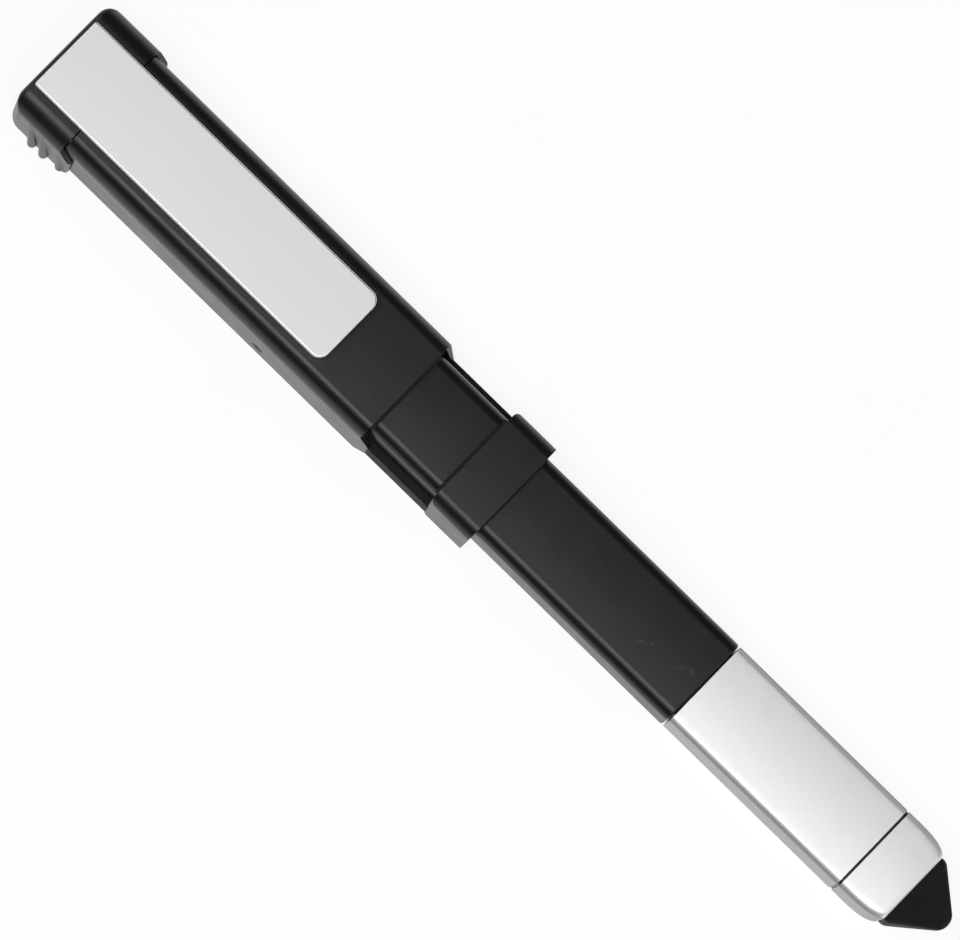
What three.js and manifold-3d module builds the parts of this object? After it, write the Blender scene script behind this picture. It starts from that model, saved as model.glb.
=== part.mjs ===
// Multi-tool pen: a ribbed, clipped handle with five folding tools, a ballpoint and a rubber stylus tip.
// Millimetres. X runs along the pen to the stylus tip, Z is up out of the clip side; the pen lies flat.
import * as THREE from 'three';
import { mergeVertices } from 'three/addons/utils/BufferGeometryUtils.js';
import Module from 'manifold-3d';

// Lengths along the pen, from the cap end to the stylus tip
const capLength = 8.2;
const capEarReach = 2;
const capSeam = 0.3;
const sleeveLength = 49.7;
const sleeveTongue = 1.5;
const windowLength = 11.3;
const collarLength = 6.6;
const collarSeam = 0.2;
const barrelLength = 32.1;
const gripSeam = 0.2;
const gripLength = 28.1;
const noseSeam = 0.35;
const noseLength = 6.65;
const tipLength = 6.3;

// Fits: between turned or cut pieces, between flat neighbours, and round pins in holes
const looseGap = 0.3;
const flatGap = 0.1;
const pinGap = 0.1;

// Steps of the rounded corners and of the round pieces
const arcSteps = 5;
const roundSteps = 20;

// Shells across the pen (Y) and up from its back (Z)
const backRadius = 0.3;
const sleeveWidth = 15.9;
const sleeveWall = 0.8;
const sleeveHeadroom = 1.15;
const sleeveFrontRadius = 2;
const sleeveLipLength = 1.4;
const sleeveTongueDrop = 2.5;
const capEarWall = 0.9;
const capProud = 0.3;
const capFrontWall = 1.3;
const capEndWall = 1.2;
const capEndRadius = 1.7;
const capFrontRadius = 2.8;
const capEarDrop = 2;
const capEarSlope = 3.3;
const ribProud = 0.35;
const ribRadius = 0.55;
const ribStations = [4.7, 6.6, 9.2];
const ribFoot = 0.9;
const ribHeadroom = 3.2;
const collarWall = 0.55;
const collarBackWall = 0.9;
const collarFrontWall = 1.65;
const collarFrontRadius = 1.4;
const collarChamfer = 0.8;

// Steel side frames, one on each side of the tools
const frameThickness = 0.55;
const frameEndSetback = 1.6;
const frameEndRadius = 2.4;
const frameBottom = 0.3;
const frameRise = 3.25;
const railThickness = 1.05;
const railTop = 5.05;

// Barrel between the frames, with its bore and its spigot for the grip
const barrelSideGap = 0.15;
const barrelLift = 1.95;
const barrelDepth = 8.6;
const barrelRadius = 1;
const barrelGrooveWidth = 0.5;
const barrelGrooveDepth = 0.5;
const boreRadius = 2;
const spigotLength = 10;
const spigotRadius = 0.6;

// Folding tools: all share the tang round the pivot pin
const toolCount = 5;
const pivotX = 5.8;
const pivotRadius = 1;
const pivotBlindDepth = 0.8;
const toolThickness = 1.8;
const toolLift = 0.8;
const toolTang = 3.6;
const toolReach = 33;
const toolTipGap = 0.6;
const tangJoinAngle = 0.9;
const shoulderX = 3.6;
const notchRadius = 0.9;
const notchSetback = 7;
const notchStep = 1.6;
const washerRadius = 2.6;

// Knife: edge below the tang's top, a choil, a curved belly and a dropped point
const edgeInset = 0.6;
const edgeThickness = 0.2;
const edgeShoulder = 0.4;
const knifeBevel = 3;
const knifePoint = 8;
const knifePointDrop = 2.6;
const knifeBelly = 6.4;
const knifeBellyRise = 2.2;
const choilStart = 4.6;
const choilWidth = 1.6;
const choilDepth = 1.2;

// Saw: teeth along the edge
const sawFirstTooth = 7;
const sawToothPitch = 1.6;
const sawToothDepth = 1;
const sawToothLean = 0.9;
const sawEndCorner = 1;

// Cross driver: shank, neck and stepped point
const driverHeight = 4.6;
const driverShankStart = 8;
const driverNeckLength = 5;
const driverNeckHalf = 1.5;
const driverStepLength = 0.6;
const driverPointLength = 1.8;
const driverPointHalf = 0.45;
const driverShoulderDrop = 1.4;

// Cap lifter: a hook in the edge and a flat driver at the end
const lifterInset = 0.4;
const lifterTipHeight = 3.8;
const lifterNose = 8.4;
const lifterNoseSlope = 2.4;
const lifterHookWidth = 8.6;
const lifterHookDepth = 3.6;
const lifterHookLip = 1.6;
const lifterGrindLength = 2.6;
const lifterTipHalf = 0.4;

// Nail file: a bevelled strip with a cleaning point
const fileInset = 1.4;
const fileBevel = 1;
const filePoint = 9;
const filePointDrop = 2.2;
const filePointHeight = 1.2;
const fileStart = 7;

// Comb spring that holds the tools, and its rivets
const springThickness = 0.5;
const springLipGap = 3.4;
const fingerWidth = 1.7;
const fingerRestLength = 4.2;
const fingerEndGap = 2.2;
const springRivetRadius = 0.8;
const springRivetHead = 1.4;
const springRivetHeadHeight = 0.45;
const springRivetDepth = 4;
const springRivetShares = [0.32, 0.78];

// Cross pins that join the frames, the sleeve and the barrel
const pinRadius = 0.75;
const tangPinSetback = 2.2;
const tangPinLift = 1.55;
const collarPinDrop = 1.45;

// Pocket clip and the hairpin spring that carries it
const clipSetback = 0.5;
const clipLength = 48;
const clipWidth = 10.7;
const clipThickness = 0.8;
const clipRise = 0.8;
const clipEndRadius = 1.5;
const clipEdgeBevel = 0.12;
const clipBumpRadius = 0.8;
const clipBumpSetback = 1.4;
const clipBumpInset = 0.6;
const clipBumpGap = 0.15;
const hairpinLeaf = 0.22;
const hairpinWidth = 7;
const hairpinLength = 6.2;
const hairpinSetback = 1;
const hairpinSlack = 0.06;
const clipRivetRadius = 0.55;
const clipRivetHead = 0.95;
const clipRivetHeadHeight = 0.2;
const clipRivetStations = [3.4, 5.9];

// Ballpoint refill, its ink and its holder
const refillLength = 67;
const refillRadius = 1.175;
const refillWall = 0.3;
const refillPointLength = 3.5;
const refillTipRadius = 0.35;
const refillShoulder = 0.8;
const refillPlug = 0.6;
const pointShowing = 5.1;
const inkLength = 48;
const holderLength = 7.7;
const holderEndWall = 0.8;
const holderGap = 0.15;

// Grip tube and its insert
const gripWidthStep = 0.1;
const gripDepthStep = 0.05;
const gripRadius = 0.9;
const gripWall = 1;
const flangeInset = 0.15;
const insertSpigotLength = 2.2;
const insertBoreGap = 0.175;
const nozzleLength = 1.5;
const nozzleWall = 0.55;
const nozzleTipWall = 0.2;
const nozzleShoulder = 0.25;

// Nose shell, its bush, and the rubber tip
const noseBushLength = 3.2;
const noseEndWall = 1.2;
const noseDrawnIn = [[4.4, 0.1], [2.6, 0.25], [1.7, 0.4], [1.1, 0.62], [0.5, 0.88]];
const noseRim = 0.05;
const tipWidthStep = 1.2;
const tipDepthStep = 0.95;
const tipBaseRadius = 1.1;
const tipStemInset = 0.75;
const tipFlangeProud = 0.5;
const tipFlangeThickness = 0.5;
const tipBand = 0.45;
const tipShoulderLength = 0.75;
const tipShoulderRound = 0.3;
const tipApexRadius = 1.65;
const tipApexHalfDepth = 1.05;
const tipApexSteps = 5;
const tipApexStart = 0.656;
const tipApexTurn = 1.46;
const tipApexRound = 0.9;
const tipHollowDepth = 3.2;
const tipHollowRadius = 2.2;
const tipHollowEndRadius = 0.9;

// Stations worked out from the lengths above
const capEarEnd = capLength + capEarReach;
const sleeveStart = capLength + capSeam;
const sleeveEnd = sleeveStart + sleeveLength;
const sleeveTongueEnd = sleeveEnd + sleeveTongue;
const sleeveLipStart = sleeveEnd - sleeveLipLength;
const collarStart = sleeveEnd + windowLength;
const collarEnd = collarStart + collarLength;
const barrelEnd = collarEnd + collarSeam + barrelLength;
const spigotEnd = barrelEnd + spigotLength;
const gripStart = barrelEnd + gripSeam;
const gripEnd = gripStart + gripLength;
const noseStart = gripEnd + noseSeam;
const noseEnd = noseStart + noseLength;
const penLength = noseEnd + tipLength;
const tangStart = pivotX + toolReach + toolTipGap;
const tangPinX = tangStart + tangPinSetback;
const collarPinX = (collarStart + collarEnd) / 2;
const springEnd = sleeveLipStart - springLipGap;
const springRivetStations = springRivetShares.map((share) => tangStart + share * (springEnd - tangStart));
const refillEnd = noseStart + pointShowing;
const refillStart = refillEnd - refillLength;
const refillTubeEnd = refillEnd - refillPointLength;
const boreStart = refillStart - holderEndWall - flatGap;

// Levels worked out from the depths above
const axisHeight = barrelLift + barrelDepth / 2;
const barrelFront = barrelLift + barrelDepth;
const sleeveCeiling = barrelFront + sleeveHeadroom;
const sleeveHeight = sleeveCeiling + sleeveWall;
const capHeight = sleeveHeight + capProud;
const capCeiling = capHeight - capFrontWall;
const collarHeight = barrelFront + flatGap + collarFrontWall;
const clipBottom = capHeight + clipRise;
const pivotZ = toolLift + toolTang;
const toolCeiling = pivotZ + toolTang + 2 * flatGap;
const frameTop = pivotZ + frameRise;
const tangPinZ = barrelLift + tangPinLift;
const collarPinZ = railTop - collarPinDrop;

// Widths worked out from the sleeve's
const shellInner = sleeveWidth / 2 - sleeveWall;
const capWidth = sleeveWidth + 2 * (capEarWall + flatGap);
const collarWidth = 2 * (shellInner + collarWall);
const frameOuter = shellInner - flatGap;
const frameInner = frameOuter - frameThickness;
const railOuter = frameInner + railThickness;
const barrelWidth = 2 * (frameInner - barrelSideGap);
const gripWidth = barrelWidth - 2 * gripWidthStep;
const gripDepth = barrelDepth - 2 * gripDepthStep;
const innerWidth = gripWidth - 2 * gripWall;
const innerDepth = gripDepth - 2 * gripWall;
const insertBore = refillRadius + insertBoreGap;
const nozzleRadius = insertBore + nozzleWall;
const insertSpigotInset = gripDepth / 2 - nozzleRadius - nozzleShoulder;
const insertSpigotWidth = gripWidth - 2 * insertSpigotInset;
const insertSpigotDepth = gripDepth - 2 * insertSpigotInset;
const tipBaseWidth = gripWidth - 2 * tipWidthStep;
const tipBaseDepth = gripDepth - 2 * tipDepthStep;
const toolGap = (2 * frameInner - toolCount * toolThickness) / (toolCount + 1);
const toolPitch = toolThickness + toolGap;

const wasm = await Module();
wasm.setup();

const xAxis = new THREE.Vector3(1, 0, 0);
const yAxis = new THREE.Vector3(0, 1, 0);
const zAxis = new THREE.Vector3(0, 0, 1);
const basisAlongX = new THREE.Matrix4().makeBasis(yAxis, zAxis, xAxis);
const basisAlongY = new THREE.Matrix4().makeBasis(xAxis, zAxis, yAxis.clone().negate());

// Negative where the triangles face inwards
function signedVolume(position, triangles) {
  const [a, b, c] = [new THREE.Vector3(), new THREE.Vector3(), new THREE.Vector3()];
  let sum = 0;
  for (let i = 0; i < triangles.length; i += 3) {
    a.fromBufferAttribute(position, triangles[i]);
    b.fromBufferAttribute(position, triangles[i + 1]);
    c.fromBufferAttribute(position, triangles[i + 2]);
    sum += a.dot(b.cross(c));
  }
  return sum / 6;
}

// A closed geometry as a solid for cutting and joining
function solidOf(geometry) {
  const bare = geometry.clone();
  bare.deleteAttribute('normal');
  bare.deleteAttribute('uv');
  const merged = mergeVertices(bare, 1e-5);
  const index = merged.index.array;
  const triangles = [];
  for (let i = 0; i < index.length; i += 3) {
    const [a, b, c] = [index[i], index[i + 1], index[i + 2]];
    if (a !== b && b !== c && c !== a) triangles.push(a, b, c);
  }
  if (signedVolume(merged.attributes.position, triangles) < 0) triangles.reverse();
  return new wasm.Manifold(new wasm.Mesh({
    numProp: 3,
    vertProperties: new Float32Array(merged.attributes.position.array),
    triVerts: new Uint32Array(triangles),
  }));
}

// The geometry of a finished solid
function geometryOf(solid) {
  const mesh = solid.getMesh();
  const geometry = new THREE.BufferGeometry();
  geometry.setAttribute('position', new THREE.BufferAttribute(new Float32Array(mesh.vertProperties), 3));
  geometry.setIndex(new THREE.BufferAttribute(new Uint32Array(mesh.triVerts), 1));
  geometry.computeVertexNormals();
  return geometry;
}

function extruded(shape, depth) {
  return new THREE.ExtrudeGeometry(shape, { depth, bevelEnabled: false, curveSegments: arcSteps });
}

// A section drawn in (y, z), run along x
function alongX(section, start, end) {
  return solidOf(extruded(section, end - start).applyMatrix4(basisAlongX).translate(start, 0, 0));
}

// A side profile drawn in (x, z), run along y
function alongY(profile, start, end) {
  return solidOf(extruded(profile, end - start).applyMatrix4(basisAlongY).translate(0, end, 0));
}

// A plan drawn in (x, y), run along z
function alongZ(plan, start, end) {
  return solidOf(extruded(plan, end - start).translate(0, 0, start));
}

function block(x0, x1, y0, y1, z0, z1) {
  const geometry = new THREE.BoxGeometry(x1 - x0, y1 - y0, z1 - z0);
  return solidOf(geometry.translate((x0 + x1) / 2, (y0 + y1) / 2, (z0 + z1) / 2));
}

// A round bar along y through (x, z)
function barAlongY(x, z, radius, y0, y1) {
  const geometry = new THREE.CylinderGeometry(radius, radius, y1 - y0, roundSteps);
  return solidOf(geometry.translate(x, (y0 + y1) / 2, z));
}

// A round bar up z through (x, y)
function barAlongZ(x, y, radius, z0, z1) {
  const geometry = new THREE.CylinderGeometry(radius, radius, z1 - z0, roundSteps);
  return solidOf(geometry.rotateX(Math.PI / 2).translate(x, y, (z0 + z1) / 2));
}

// A turned bar along x on the pen's axis: points are [x, radius] from one end to the other
function turnedAlongX(points) {
  const profile = points.map(([x, radius]) => new THREE.Vector2(radius, x));
  const geometry = new THREE.LatheGeometry(profile, roundSteps);
  return solidOf(geometry.rotateZ(-Math.PI / 2).translate(0, 0, axisHeight));
}

function polygon(points) {
  return new THREE.Shape(points.map(([u, v]) => new THREE.Vector2(u, v)));
}

// A rectangle about the middle line with its own radius at the back and at the front corners
function roundedSection(halfWidth, bottom, top, lowRadius, highRadius) {
  const low = halfWidth - lowRadius;
  const high = halfWidth - highRadius;
  const shape = new THREE.Shape();
  shape.moveTo(low, bottom);
  shape.absarc(low, bottom + lowRadius, lowRadius, -Math.PI / 2, 0);
  shape.absarc(high, top - highRadius, highRadius, 0, Math.PI / 2);
  shape.absarc(-high, top - highRadius, highRadius, Math.PI / 2, Math.PI);
  shape.absarc(-low, bottom + lowRadius, lowRadius, Math.PI, 1.5 * Math.PI);
  return shape;
}

// The same rectangle centred on the pen's axis
function axisSection(width, depth, radius) {
  return roundedSection(width / 2, axisHeight - depth / 2, axisHeight + depth / 2, radius, radius);
}

// A skin through rounded rectangles: rings are [x, half width, half depth, corner radius]
function lofted(rings) {
  const cornerSteps = arcSteps;
  const corners = [[1, 1], [-1, 1], [-1, -1], [1, -1]];
  const ringSize = corners.length * (cornerSteps + 1);
  const positions = [];
  for (const [x, halfWidth, halfDepth, radius] of rings) {
    corners.forEach(([ySign, zSign], corner) => {
      for (let step = 0; step <= cornerSteps; step++) {
        const angle = (corner + step / cornerSteps) * Math.PI / 2;
        const y = ySign * (halfWidth - radius) + radius * Math.cos(angle);
        const z = zSign * (halfDepth - radius) + radius * Math.sin(angle);
        positions.push(x, y, axisHeight + z);
      }
    });
  }
  const first = positions.length / 3;
  positions.push(rings[0][0], 0, axisHeight);
  positions.push(rings[rings.length - 1][0], 0, axisHeight);
  const index = [];
  const lastRing = (rings.length - 1) * ringSize;
  for (let j = 0; j < ringSize; j++) {
    const next = (j + 1) % ringSize;
    for (let i = 0; i < rings.length - 1; i++) {
      const a = i * ringSize;
      const b = a + ringSize;
      index.push(a + j, a + next, b + next, a + j, b + next, b + j);
    }
    index.push(first, next, j);
    index.push(first + 1, lastRing + j, lastRing + next);
  }
  const geometry = new THREE.BufferGeometry();
  geometry.setAttribute('position', new THREE.Float32BufferAttribute(positions, 3));
  geometry.setIndex(index);
  return solidOf(geometry);
}

// Cap: a ribbed U-shaped end block, open at the back and below its end wall so that the tools swing out
function capSolid() {
  const half = capWidth / 2;
  const plan = new THREE.Shape();
  plan.moveTo(capEarEnd, -half);
  plan.lineTo(capEarEnd, half);
  plan.absarc(capEndRadius, half - capEndRadius, capEndRadius, Math.PI / 2, Math.PI);
  plan.absarc(capEndRadius, capEndRadius - half, capEndRadius, Math.PI, 1.5 * Math.PI);
  const outer = alongX(roundedSection(half, 0, capHeight, backRadius, capFrontRadius), 0, capEarEnd);
  const ribs = ribStations.flatMap((x) => [-1, 1].map((side) => (
    barAlongZ(x, side * (half + ribProud - ribRadius), ribRadius, ribFoot, capHeight - ribHeadroom)
  )));
  const rounded = outer.intersect(alongZ(plan, 0, capHeight));
  const ribbed = ribs.reduce((body, rib) => body.add(rib), rounded);
  const earTop = capHeight - capEarDrop;
  const earSpace = polygon([
    [capLength, capHeight + 1],
    [capLength, earTop],
    [capEarEnd, earTop - capEarSlope],
    [capEarEnd + 1, earTop - capEarSlope],
    [capEarEnd + 1, capHeight + 1],
  ]);
  const sleeveHalf = sleeveWidth / 2 + flatGap;
  const sleeveSection = roundedSection(sleeveHalf, -1, sleeveHeight + flatGap, backRadius, sleeveFrontRadius);
  const blindEnd = shellInner + pivotBlindDepth;
  return [
    block(capEndWall, capEarEnd + 1, -shellInner, shellInner, -1, capCeiling),
    block(-1, capEndWall + 1, -shellInner, shellInner, -1, toolCeiling),
    alongY(earSpace, -half - 1, half + 1),
    alongX(sleeveSection, capLength, capEarEnd + 1),
    barAlongY(pivotX, pivotZ, pivotRadius + pinGap, -blindEnd, blindEnd),
    ...clipRivetStations.map((x) => barAlongZ(x, 0, clipRivetRadius + pinGap, axisHeight, capHeight + 1)),
  ].reduce((body, space) => body.subtract(space), ribbed);
}

// Sleeve: a U-shaped cover, open at the back, with tongues that slope down to the rails in the window
function sleeveSolid() {
  const half = sleeveWidth / 2;
  const plan = polygon([
    [sleeveStart, -half],
    [sleeveEnd, -half],
    [sleeveTongueEnd, -railOuter],
    [sleeveTongueEnd, railOuter],
    [sleeveEnd, half],
    [sleeveStart, half],
  ]);
  const section = roundedSection(half, 0, sleeveHeight, backRadius, sleeveFrontRadius);
  const innerRadius = Math.max(sleeveFrontRadius - sleeveWall, backRadius);
  const hollow = roundedSection(shellInner, -1, sleeveCeiling, backRadius, innerRadius);
  const tongueSpace = polygon([
    [sleeveEnd, sleeveHeight + 1],
    [sleeveEnd, sleeveHeight - sleeveTongueDrop],
    [sleeveTongueEnd, railTop],
    [sleeveTongueEnd + 1, railTop],
    [sleeveTongueEnd + 1, sleeveHeight + 1],
  ]);
  const lipFoot = barrelFront + flatGap;
  return alongX(section, sleeveStart, sleeveTongueEnd)
    .intersect(alongZ(plan, 0, sleeveHeight))
    .subtract(alongX(hollow, sleeveStart - 1, sleeveTongueEnd + 1))
    .add(block(sleeveLipStart, sleeveEnd, -shellInner, shellInner, lipFoot, sleeveCeiling))
    .subtract(alongY(tongueSpace, -half - 1, half + 1))
    .subtract(barAlongY(tangPinX, tangPinZ, pinRadius + pinGap, -half - 1, half + 1));
}

// Collar: a ring round the barrel and the ends of the frames, chamfered above the rails
function collarSolid() {
  const half = collarWidth / 2;
  const corner = [
    [collarStart - 1, half - collarChamfer],
    [collarStart, half - collarChamfer],
    [collarStart + collarChamfer, half],
    [collarStart + collarChamfer, half + 1],
    [collarStart - 1, half + 1],
  ];
  const flipped = corner.map(([x, y]) => [x, -y]).reverse();
  const section = roundedSection(half, 0, collarHeight, backRadius, collarFrontRadius);
  const railLevel = railTop + flatGap;
  const [before, after] = [collarStart - 1, collarEnd + 1];
  const barrelHalf = barrelWidth / 2 + flatGap;
  return alongX(section, collarStart, collarEnd)
    .subtract(alongZ(polygon(corner), railLevel, collarHeight + 1))
    .subtract(alongZ(polygon(flipped), railLevel, collarHeight + 1))
    .subtract(block(before, after, -shellInner, shellInner, collarBackWall, railLevel))
    .subtract(block(before, after, -barrelHalf, barrelHalf, collarBackWall, barrelFront + flatGap));
}

// Side frame: a thin plate behind the sleeve, thicker where it shows as a rail in the window
function frameSolid(side) {
  const end = collarEnd - flatGap;
  const foot = collarBackWall + flatGap;
  const roundX = frameEndSetback + frameEndRadius;
  const profile = new THREE.Shape();
  profile.moveTo(roundX, frameBottom);
  profile.lineTo(collarStart, frameBottom);
  profile.lineTo(collarStart, foot);
  profile.lineTo(end, foot);
  profile.lineTo(end, railTop);
  profile.lineTo(sleeveLipStart, railTop);
  profile.lineTo(sleeveLipStart, frameTop);
  profile.absarc(roundX, frameTop - frameEndRadius, frameEndRadius, Math.PI / 2, Math.PI);
  profile.absarc(roundX, frameBottom + frameEndRadius, frameEndRadius, Math.PI, 1.5 * Math.PI);
  const rail = side > 0
    ? block(sleeveTongueEnd, collarStart, frameInner, railOuter, frameBottom, railTop)
    : block(sleeveTongueEnd, collarStart, -railOuter, -frameInner, frameBottom, railTop);
  const plate = side > 0
    ? alongY(profile, frameInner, frameOuter)
    : alongY(profile, -frameOuter, -frameInner);
  return plate
    .add(rail)
    .subtract(barAlongY(pivotX, pivotZ, pivotRadius + pinGap, -capWidth, capWidth))
    .subtract(barAlongY(tangPinX, tangPinZ, pinRadius + pinGap, -capWidth, capWidth))
    .subtract(barAlongY(collarPinX, collarPinZ, pinRadius + pinGap, -capWidth, capWidth));
}

// Barrel: the lower body with its tang between the frames, a spigot for the grip, a bore for the refill,
// and a groove across its front at each end of the window
function barrelSolid() {
  const rivetFoot = barrelFront - springRivetDepth - flatGap;
  const body = alongX(axisSection(barrelWidth, barrelDepth, barrelRadius), tangStart, barrelEnd);
  const spigot = axisSection(innerWidth - 2 * flatGap, innerDepth - 2 * flatGap, spigotRadius);
  const bore = turnedAlongX([
    [boreStart, 0],
    [boreStart, boreRadius],
    [spigotEnd + 1, boreRadius],
    [spigotEnd + 1, 0],
  ]);
  const grooves = [sleeveEnd, collarStart - barrelGrooveWidth].map((x) => block(
    x,
    x + barrelGrooveWidth,
    -barrelWidth,
    barrelWidth,
    barrelFront - barrelGrooveDepth,
    barrelFront + 1,
  ));
  const spaces = [
    bore,
    ...grooves,
    barAlongY(tangPinX, tangPinZ, pinRadius + pinGap, -barrelWidth, barrelWidth),
    barAlongY(collarPinX, collarPinZ, pinRadius + pinGap, -barrelWidth, barrelWidth),
    ...springRivetStations.map((x) => (
      barAlongZ(x, 0, springRivetRadius + pinGap, rivetFoot, barrelFront + 1)
    )),
  ];
  return spaces.reduce(
    (solid, space) => solid.subtract(space),
    body.add(alongX(spigot, barrelEnd - 1, spigotEnd)),
  );
}

// Refill holder: a blind socket in the barrel's bore
function refillHolderSolid() {
  const start = boreStart + flatGap;
  return turnedAlongX([
    [start, 0],
    [start, boreRadius - flatGap],
    [start + holderLength, boreRadius - flatGap],
    [start + holderLength, refillRadius + holderGap],
    [start + holderEndWall, refillRadius + holderGap],
    [start + holderEndWall, 0],
  ]);
}

function refillTubeSolid() {
  const inner = refillRadius - refillWall;
  return turnedAlongX([
    [refillTubeEnd - refillPlug, 0],
    [refillTubeEnd - refillPlug, inner],
    [refillStart + flatGap, inner],
    [refillStart + flatGap, refillRadius],
    [refillTubeEnd, refillRadius],
    [refillTubeEnd, 0],
  ]);
}

function refillPointSolid() {
  return turnedAlongX([
    [refillTubeEnd, 0],
    [refillTubeEnd, refillRadius],
    [refillTubeEnd + refillShoulder, refillRadius],
    [refillEnd - refillTipRadius, refillTipRadius],
    [refillEnd, refillTipRadius / 2],
    [refillEnd, 0],
  ]);
}

function inkSolid() {
  const end = refillTubeEnd - refillPlug - looseGap;
  const radius = refillRadius - refillWall - flatGap;
  return turnedAlongX([[end - inkLength, 0], [end - inkLength, radius], [end, radius], [end, 0]]);
}

// Grip: a plain rectangular tube that slides over the spigot
function gripSolid() {
  return alongX(axisSection(gripWidth, gripDepth, gripRadius), gripStart, gripEnd)
    .subtract(alongX(axisSection(innerWidth, innerDepth, spigotRadius), gripStart - 1, gripEnd + 1));
}

// Grip insert: guides the refill, shows as a thin line at its flange, and ends in a spigot and a nozzle
function gripInsertSolid() {
  const start = spigotEnd + looseGap;
  const spigotNose = noseStart + insertSpigotLength;
  const nozzleEnd = spigotNose + nozzleLength;
  const core = axisSection(innerWidth - 2 * flatGap, innerDepth - 2 * flatGap, spigotRadius);
  const flange = axisSection(gripWidth - 2 * flangeInset, gripDepth - 2 * flangeInset, gripRadius);
  const spigot = axisSection(insertSpigotWidth, insertSpigotDepth, spigotRadius);
  const nozzle = turnedAlongX([
    [spigotNose - 1, 0],
    [spigotNose - 1, nozzleRadius],
    [spigotNose, nozzleRadius],
    [nozzleEnd, insertBore + nozzleTipWall],
    [nozzleEnd, 0],
  ]);
  const bore = turnedAlongX([
    [start - 1, 0],
    [start - 1, insertBore],
    [nozzleEnd + 1, insertBore],
    [nozzleEnd + 1, 0],
  ]);
  return alongX(core, start, gripEnd)
    .add(alongX(flange, gripEnd, noseStart))
    .add(alongX(spigot, noseStart, spigotNose))
    .add(nozzle)
    .subtract(bore);
}

// Nose shell: the silver end with its rounded mouth for the rubber tip
function noseShellSolid() {
  const half = gripWidth / 2;
  const deep = gripDepth / 2;
  const depthShare = tipDepthStep / tipWidthStep;
  const drawnIn = noseDrawnIn.map(([back, inset]) => (
    [noseEnd - back, half - inset, deep - inset * depthShare, gripRadius]
  ));
  const outer = lofted([
    [noseStart, half, deep, gripRadius],
    ...drawnIn,
    [noseEnd, tipBaseWidth / 2 + noseRim, tipBaseDepth / 2 + noseRim, tipBaseRadius],
  ]);
  const hollow = axisSection(innerWidth, innerDepth, spigotRadius);
  const mouth = axisSection(
    tipBaseWidth - 2 * tipStemInset, tipBaseDepth - 2 * tipStemInset, tipBaseRadius / 2,
  );
  return outer
    .subtract(alongX(hollow, noseStart - 1, noseEnd - noseEndWall))
    .subtract(alongX(mouth, noseEnd - noseEndWall - 1, noseEnd + 1));
}

// Nose bush: lines the shell and grips the insert's spigot
function noseBushSolid() {
  const start = noseStart + flatGap;
  const outer = axisSection(innerWidth - 2 * flatGap, innerDepth - 2 * flatGap, spigotRadius);
  const inner = axisSection(insertSpigotWidth + 2 * flatGap, insertSpigotDepth + 2 * flatGap, spigotRadius);
  return alongX(outer, start, start + noseBushLength)
    .subtract(alongX(inner, start - 1, start + noseBushLength + 1));
}

// Stylus tip: a rubber pyramid with a rounded point, a stem held in the nose, and a hollow for the ballpoint
function stylusTipSolid() {
  const half = tipBaseWidth / 2;
  const deep = tipBaseDepth / 2;
  const bandEnd = noseEnd + tipBand;
  const stemHalf = half - tipStemInset - flatGap;
  const stemDeep = deep - tipStemInset - flatGap;
  const flangeEnd = noseEnd - noseEndWall - flatGap;
  const flangeStart = flangeEnd - tipFlangeThickness;
  const apex = Array.from({ length: tipApexSteps + 1 }, (_, i) => {
    const turn = tipApexStart + (i / tipApexSteps) * (tipApexTurn - tipApexStart);
    const x = penLength - tipApexRadius * (Math.sin(tipApexTurn) - Math.sin(turn));
    const deepHere = tipApexHalfDepth * Math.cos(turn) / Math.cos(tipApexStart);
    return [x, tipApexRadius * Math.cos(turn), deepHere, deepHere * tipApexRound];
  });
  const pyramid = lofted([
    [noseEnd, half, deep, tipBaseRadius],
    [bandEnd, half, deep, tipBaseRadius],
    [bandEnd + tipShoulderLength, half - tipShoulderRound, deep - tipShoulderRound / 2, tipBaseRadius],
    ...apex,
  ]);
  const stem = axisSection(2 * stemHalf, 2 * stemDeep, tipBaseRadius / 2);
  const flangeHalf = stemHalf + tipFlangeProud;
  const flangeDeep = stemDeep + tipFlangeProud;
  const hollow = turnedAlongX([
    [flangeStart - 1, 0],
    [flangeStart - 1, tipHollowRadius],
    [noseEnd, tipHollowRadius],
    [noseEnd + tipHollowDepth, tipHollowEndRadius],
    [noseEnd + tipHollowDepth, 0],
  ]);
  const flange = axisSection(2 * flangeHalf, 2 * flangeDeep, tipBaseRadius / 2);
  return pyramid
    .add(alongX(stem, flangeStart, bandEnd))
    .add(alongX(flange, flangeStart, flangeEnd))
    .subtract(hollow);
}

// Tool pin: its ends sit in blind holes in the cap
function toolPinSolid() {
  const half = shellInner + pivotBlindDepth - flatGap;
  return barAlongY(pivotX, pivotZ, pivotRadius, -half, half);
}

function crossPinSolid(x, z, half) {
  return barAlongY(x, z, pinRadius, -half, half);
}

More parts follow.
